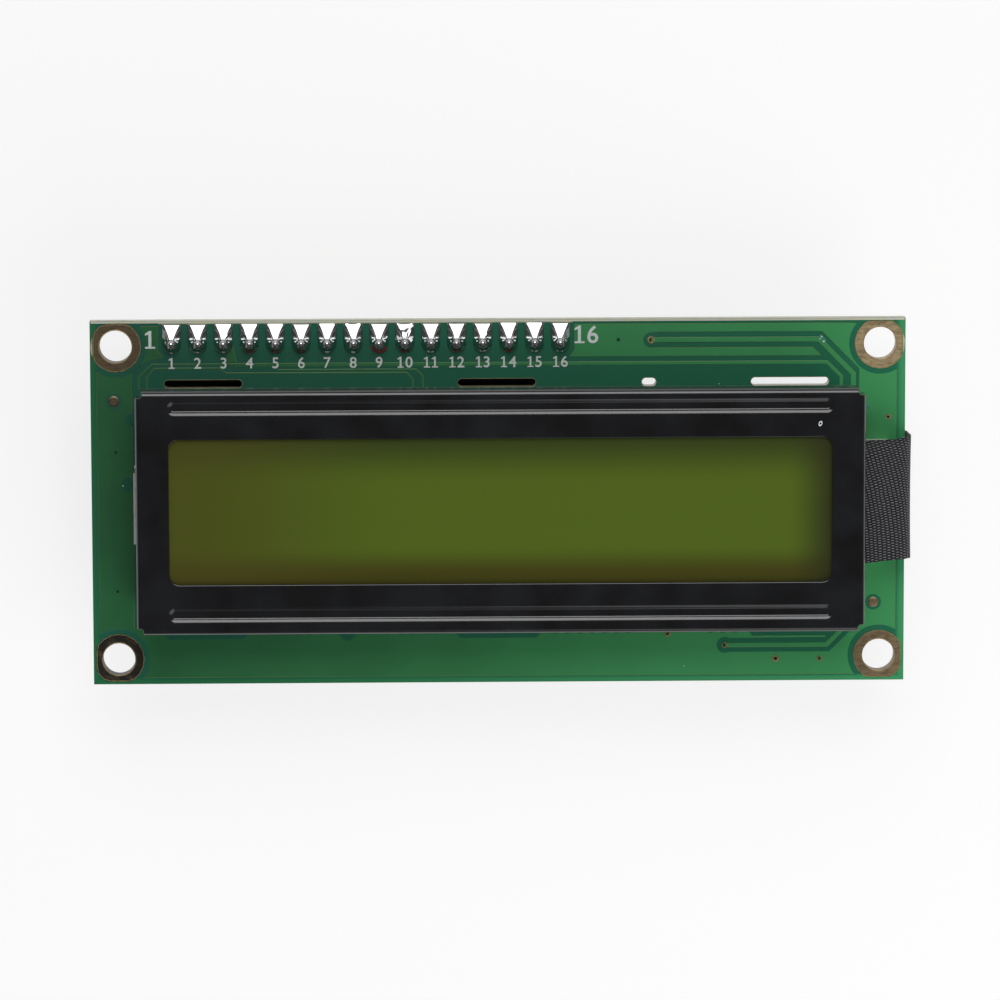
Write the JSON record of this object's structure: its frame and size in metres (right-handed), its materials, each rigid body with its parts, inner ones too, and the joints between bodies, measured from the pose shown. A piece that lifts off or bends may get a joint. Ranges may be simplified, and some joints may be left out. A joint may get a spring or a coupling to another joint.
{
  "type": "character lcd module",
  "caption": "Two-line character display module: green board with corner mounting holes, black metal frame, yellow-green window, soldered pin row and a serial adapter behind.",
  "frame": {"origin": "centre of the four-hole mounting rectangle, on the display board's front face", "axes": "+Z out of the display, +X right along the board as read from the front, +Y towards the pin row"},
  "size_m": [0.0804, 0.036, 0.0176],
  "materials": {
    "board_mask": "green solder mask over glass-epoxy board, satin gloss",
    "adapter_mask": "black solder mask over glass-epoxy board",
    "tarnished_copper": "tarnished plated copper",
    "black_frame": "glossy black paint on folded steel",
    "film": "polarizing film over the yellow-green cell",
    "cell_glass": "thin float glass",
    "black_rubber": "layered conductive silicone",
    "white_plastic": "white moulded tray",
    "clear_acrylic": "clear moulded light guide",
    "diffuser": "milky diffuser film",
    "lamp": "side-view light source",
    "black_cloth": "black woven tape, plain weave",
    "tinned_pin": "tinned brass pin",
    "solder": "bright tin solder",
    "black_plastic": "black moulded nylon",
    "epoxy": "black moulding epoxy",
    "tinned_lead": "tinned lead frame",
    "chip_ceramic": "chip resistor with tinned ends",
    "tan_ceramic": "ceramic capacitor with tinned ends",
    "status_lamp": "clear status light",
    "blue_plastic": "blue moulded trimmer case",
    "white_rotor": "white moulded rotor"
  },
  "bodies": {
    "module": {"main_board": "board_mask", "mounting_pads": "tarnished_copper", "bezel": "black_frame", "front_polarizer": "film", "front_glass": "cell_glass", "rear_glass": "cell_glass", "rear_polarizer": "film", "contact_strip_upper": "black_rubber", "contact_strip_lower": "black_rubber", "backlight_tray": "white_plastic", "diffuser_film": "diffuser", "light_guide": "clear_acrylic", "led_board": "board_mask", "backlight_leds": "lamp", "lamp_legs": "tinned_pin", "lamp_solder": "solder", "cloth_tape": "black_cloth", "header_pins": "tinned_pin", "header_spacer": "black_plastic", "front_solder": "solder", "controller_dome": "epoxy", "driver_dome": "epoxy", "display_resistors": "chip_ceramic", "display_capacitors": "tan_ceramic", "adapter_board": "adapter_mask", "adapter_resistors": "chip_ceramic", "adapter_capacitor": "tan_ceramic", "adapter_led": "status_lamp", "rear_solder": "solder", "header_solder": "solder", "trimmer_solder": "solder", "expander_chip": "epoxy", "expander_leads": "tinned_lead", "trimmer_body": "blue_plastic", "trimmer_legs": "tinned_pin", "serial_header_housing": "black_plastic", "serial_header_pins": "tinned_pin", "jumper_housing": "black_plastic", "jumper_pins": "tinned_pin", "backlight_transistor": "epoxy"},
    "contrast_rotor": {"trimmer_rotor": "white_rotor"},
    "backlight_cap": {"jumper_cap": "black_plastic"}
  },
  "joints": [
    {"name": "contrast_turn", "type": "hinge", "parent": "module", "child": "contrast_rotor", "pos_m": [-0.00322, 0.0054, -0.0095], "axis": [0, 0, -1], "range_deg": [-105, 105]},
    {"name": "cap_pull", "type": "slide", "parent": "module", "child": "backlight_cap", "axis": [1, 0, 0], "range_m": [0, 0.0061]}
  ]
}
